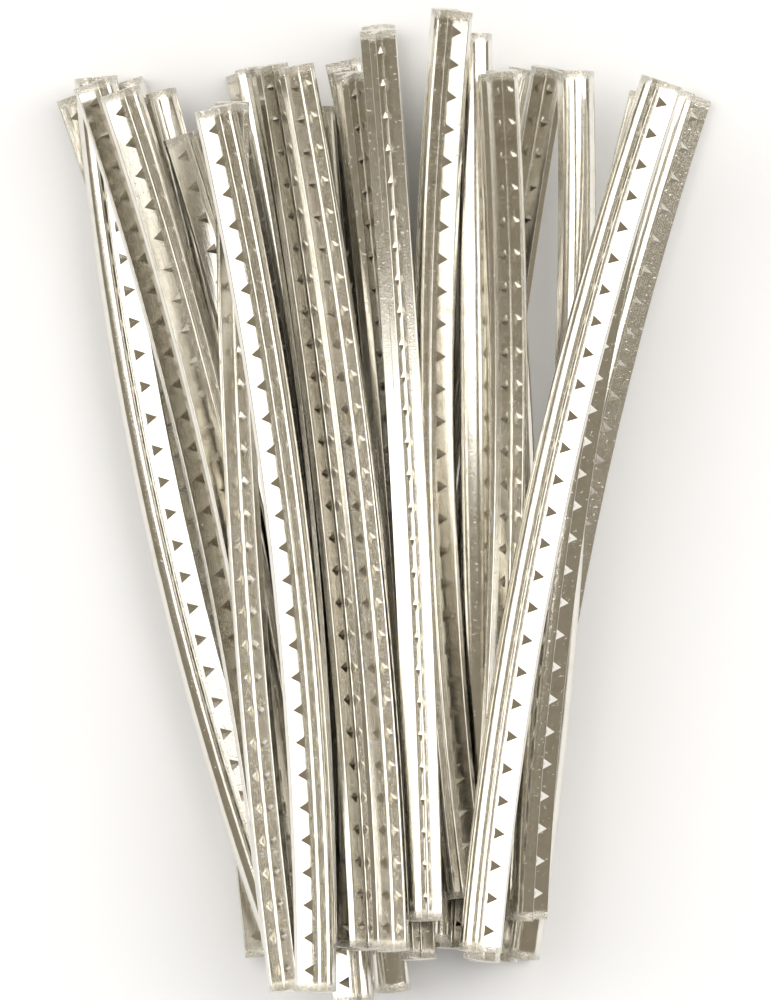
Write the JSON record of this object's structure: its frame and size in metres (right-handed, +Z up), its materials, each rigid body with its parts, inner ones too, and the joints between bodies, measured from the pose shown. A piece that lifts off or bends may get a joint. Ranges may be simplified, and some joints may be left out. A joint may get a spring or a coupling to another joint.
{
  "type": "loose pre-cut fret wires",
  "caption": "Fanned pile of loose, pre-cut, slightly curved nickel silver fret wires, each with a domed crown and a barbed tang.",
  "frame": {"origin": "middle of the pile's outline, on the surface the pile lies on", "axes": "+Z up; +Y along the wires, from their gathered ends to the open end of the fan; +X to the right seen from above"},
  "size_m": [0.048, 0.0728, 0.0173],
  "materials": {
    "nickel_silver": "bright drawn"
  },
  "bodies": {
    "fret_wire_01": {"fret_wire_01": "nickel_silver"},
    "fret_wire_02": {"fret_wire_02": "nickel_silver"},
    "fret_wire_03": {"fret_wire_03": "nickel_silver"},
    "fret_wire_04": {"fret_wire_04": "nickel_silver"},
    "fret_wire_05": {"fret_wire_05": "nickel_silver"},
    "fret_wire_06": {"fret_wire_06": "nickel_silver"},
    "fret_wire_07": {"fret_wire_07": "nickel_silver"},
    "fret_wire_08": {"fret_wire_08": "nickel_silver"},
    "fret_wire_09": {"fret_wire_09": "nickel_silver"},
    "fret_wire_10": {"fret_wire_10": "nickel_silver"},
    "fret_wire_11": {"fret_wire_11": "nickel_silver"},
    "fret_wire_12": {"fret_wire_12": "nickel_silver"},
    "fret_wire_13": {"fret_wire_13": "nickel_silver"},
    "fret_wire_14": {"fret_wire_14": "nickel_silver"},
    "fret_wire_15": {"fret_wire_15": "nickel_silver"},
    "fret_wire_16": {"fret_wire_16": "nickel_silver"},
    "fret_wire_17": {"fret_wire_17": "nickel_silver"},
    "fret_wire_18": {"fret_wire_18": "nickel_silver"},
    "fret_wire_19": {"fret_wire_19": "nickel_silver"},
    "fret_wire_20": {"fret_wire_20": "nickel_silver"},
    "fret_wire_21": {"fret_wire_21": "nickel_silver"},
    "fret_wire_22": {"fret_wire_22": "nickel_silver"},
    "fret_wire_23": {"fret_wire_23": "nickel_silver"},
    "fret_wire_24": {"fret_wire_24": "nickel_silver"},
    "fret_wire_25": {"fret_wire_25": "nickel_silver"},
    "fret_wire_26": {"fret_wire_26": "nickel_silver"},
    "fret_wire_27": {"fret_wire_27": "nickel_silver"},
    "fret_wire_28": {"fret_wire_28": "nickel_silver"},
    "fret_wire_29": {"fret_wire_29": "nickel_silver"}
  },
  "joints": [
    {"name": "fret_wire_15_lift", "type": "slide", "parent": "fret_wire_01", "child": "fret_wire_15", "axis": [0, 0, 1], "range_m": [0, 0.02]},
    {"name": "fret_wire_05_lift", "type": "slide", "parent": "fret_wire_15", "child": "fret_wire_05", "axis": [0, 0, 1], "range_m": [0, 0.02]},
    {"name": "fret_wire_10_lift", "type": "slide", "parent": "fret_wire_05", "child": "fret_wire_10", "axis": [0, 0, 1], "range_m": [0, 0.02]},
    {"name": "fret_wire_29_lift", "type": "slide", "parent": "fret_wire_10", "child": "fret_wire_29", "axis": [0, 0, 1], "range_m": [0, 0.02]},
    {"name": "fret_wire_06_lift", "type": "slide", "parent": "fret_wire_29", "child": "fret_wire_06", "axis": [0, 0, 1], "range_m": [0, 0.02]},
    {"name": "fret_wire_24_lift", "type": "slide", "parent": "fret_wire_06", "child": "fret_wire_24", "axis": [0, 0, 1], "range_m": [0, 0.02]},
    {"name": "fret_wire_25_lift", "type": "slide", "parent": "fret_wire_24", "child": "fret_wire_25", "axis": [0, 0, 1], "range_m": [0, 0.02]},
    {"name": "fret_wire_19_lift", "type": "slide", "parent": "fret_wire_25", "child": "fret_wire_19", "axis": [0, 0, 1], "range_m": [0, 0.02]},
    {"name": "fret_wire_22_lift", "type": "slide", "parent": "fret_wire_19", "child": "fret_wire_22", "axis": [0, 0, 1], "range_m": [0, 0.02]},
    {"name": "fret_wire_21_lift", "type": "slide", "parent": "fret_wire_22", "child": "fret_wire_21", "axis": [0, 0, 1], "range_m": [0, 0.02]},
    {"name": "fret_wire_14_lift", "type": "slide", "parent": "fret_wire_21", "child": "fret_wire_14", "axis": [0, 0, 1], "range_m": [0, 0.02]},
    {"name": "fret_wire_07_lift", "type": "slide", "parent": "fret_wire_14", "child": "fret_wire_07", "axis": [0, 0, 1], "range_m": [0, 0.02]},
    {"name": "fret_wire_16_lift", "type": "slide", "parent": "fret_wire_07", "child": "fret_wire_16", "axis": [0, 0, 1], "range_m": [0, 0.02]},
    {"name": "fret_wire_17_lift", "type": "slide", "parent": "fret_wire_16", "child": "fret_wire_17", "axis": [0, 0, 1], "range_m": [0, 0.02]},
    {"name": "fret_wire_11_lift", "type": "slide", "parent": "fret_wire_17", "child": "fret_wire_11", "axis": [0, 0, 1], "range_m": [0, 0.02]},
    {"name": "fret_wire_26_lift", "type": "slide", "parent": "fret_wire_11", "child": "fret_wire_26", "axis": [0, 0, 1], "range_m": [0, 0.02]},
    {"name": "fret_wire_03_lift", "type": "slide", "parent": "fret_wire_11", "child": "fret_wire_03", "axis": [0, 0, 1], "range_m": [0, 0.02]},
    {"name": "fret_wire_02_lift", "type": "slide", "parent": "fret_wire_03", "child": "fret_wire_02", "axis": [0, 0, 1], "range_m": [0, 0.02]},
    {"name": "fret_wire_04_lift", "type": "slide", "parent": "fret_wire_02", "child": "fret_wire_04", "axis": [0, 0, 1], "range_m": [0, 0.02]},
    {"name": "fret_wire_27_lift", "type": "slide", "parent": "fret_wire_26", "child": "fret_wire_27", "axis": [0, 0, 1], "range_m": [0, 0.02]},
    {"name": "fret_wire_09_lift", "type": "slide", "parent": "fret_wire_04", "child": "fret_wire_09", "axis": [0, 0, 1], "range_m": [0, 0.02]},
    {"name": "fret_wire_20_lift", "type": "slide", "parent": "fret_wire_27", "child": "fret_wire_20", "axis": [0, 0, 1], "range_m": [0, 0.02]},
    {"name": "fret_wire_23_lift", "type": "slide", "parent": "fret_wire_20", "child": "fret_wire_23", "axis": [0, 0, 1], "range_m": [0, 0.02]},
    {"name": "fret_wire_28_lift", "type": "slide", "parent": "fret_wire_23", "child": "fret_wire_28", "axis": [0, 0, 1], "range_m": [0, 0.02]},
    {"name": "fret_wire_12_lift", "type": "slide", "parent": "fret_wire_20", "child": "fret_wire_12", "axis": [0, 0, 1], "range_m": [0, 0.02]},
    {"name": "fret_wire_18_lift", "type": "slide", "parent": "fret_wire_12", "child": "fret_wire_18", "axis": [0, 0, 1], "range_m": [0, 0.02]},
    {"name": "fret_wire_08_lift", "type": "slide", "parent": "fret_wire_09", "child": "fret_wire_08", "axis": [0, 0, 1], "range_m": [0, 0.02]},
    {"name": "fret_wire_13_lift", "type": "slide", "parent": "fret_wire_18", "child": "fret_wire_13", "axis": [0, 0, 1], "range_m": [0, 0.02]}
  ]
}
